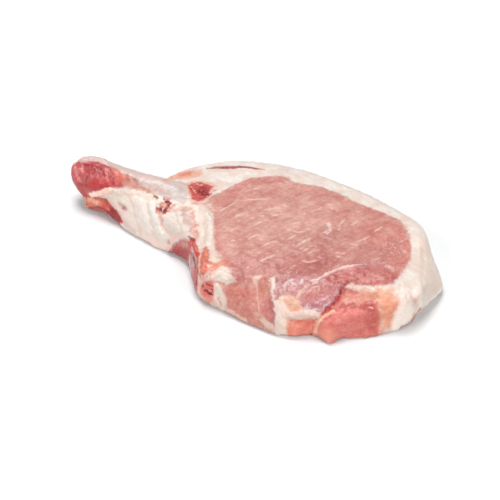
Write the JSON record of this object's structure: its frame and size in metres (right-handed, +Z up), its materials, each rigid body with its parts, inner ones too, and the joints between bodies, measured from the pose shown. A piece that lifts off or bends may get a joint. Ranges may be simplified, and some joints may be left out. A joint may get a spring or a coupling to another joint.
{
  "type": "raw frenched pork rib chop",
  "caption": "Raw bone-in pork loin chop lying flat, with a cleaned rib as a handle, a pink loin eye, a white fat edge and smaller muscles along the near side.",
  "frame": {"origin": "middle of the footprint's box, on the surface that the chop lies on", "axes": "+Z up out of the sawn face, +X along the chop from the rib's end towards the fat edge, +Y away from the cut edge that faces the viewer"},
  "size_m": [0.169, 0.1123, 0.0232],
  "materials": {
    "loin_eye": "moist raw lean meat",
    "cap_muscle": "moist raw lean meat under silver skin",
    "side_muscle": "moist raw lean meat",
    "seam_muscle": "moist raw lean meat",
    "intercostal_muscle": "dark moist raw meat",
    "rib_meat": "moist raw meat",
    "back_fat": "satin raw fat",
    "seam_fat": "satin raw fat",
    "ridge_fat": "satin raw fat",
    "rib_fat": "satin raw fat",
    "rib_bone": "moist raw bone",
    "chine_bone": "sawn raw bone"
  },
  "bodies": {
    "root": {"loin_eye": "loin_eye", "cap_muscle": "cap_muscle", "side_muscle": "side_muscle", "seam_muscle": "seam_muscle", "intercostal_muscle": "intercostal_muscle", "rib_meat": "rib_meat", "back_fat": "back_fat", "seam_fat": "seam_fat", "ridge_fat": "ridge_fat", "rib_fat": "rib_fat", "rib_bone": "rib_bone", "chine_bone": "chine_bone"}
  },
  "joints": []
}
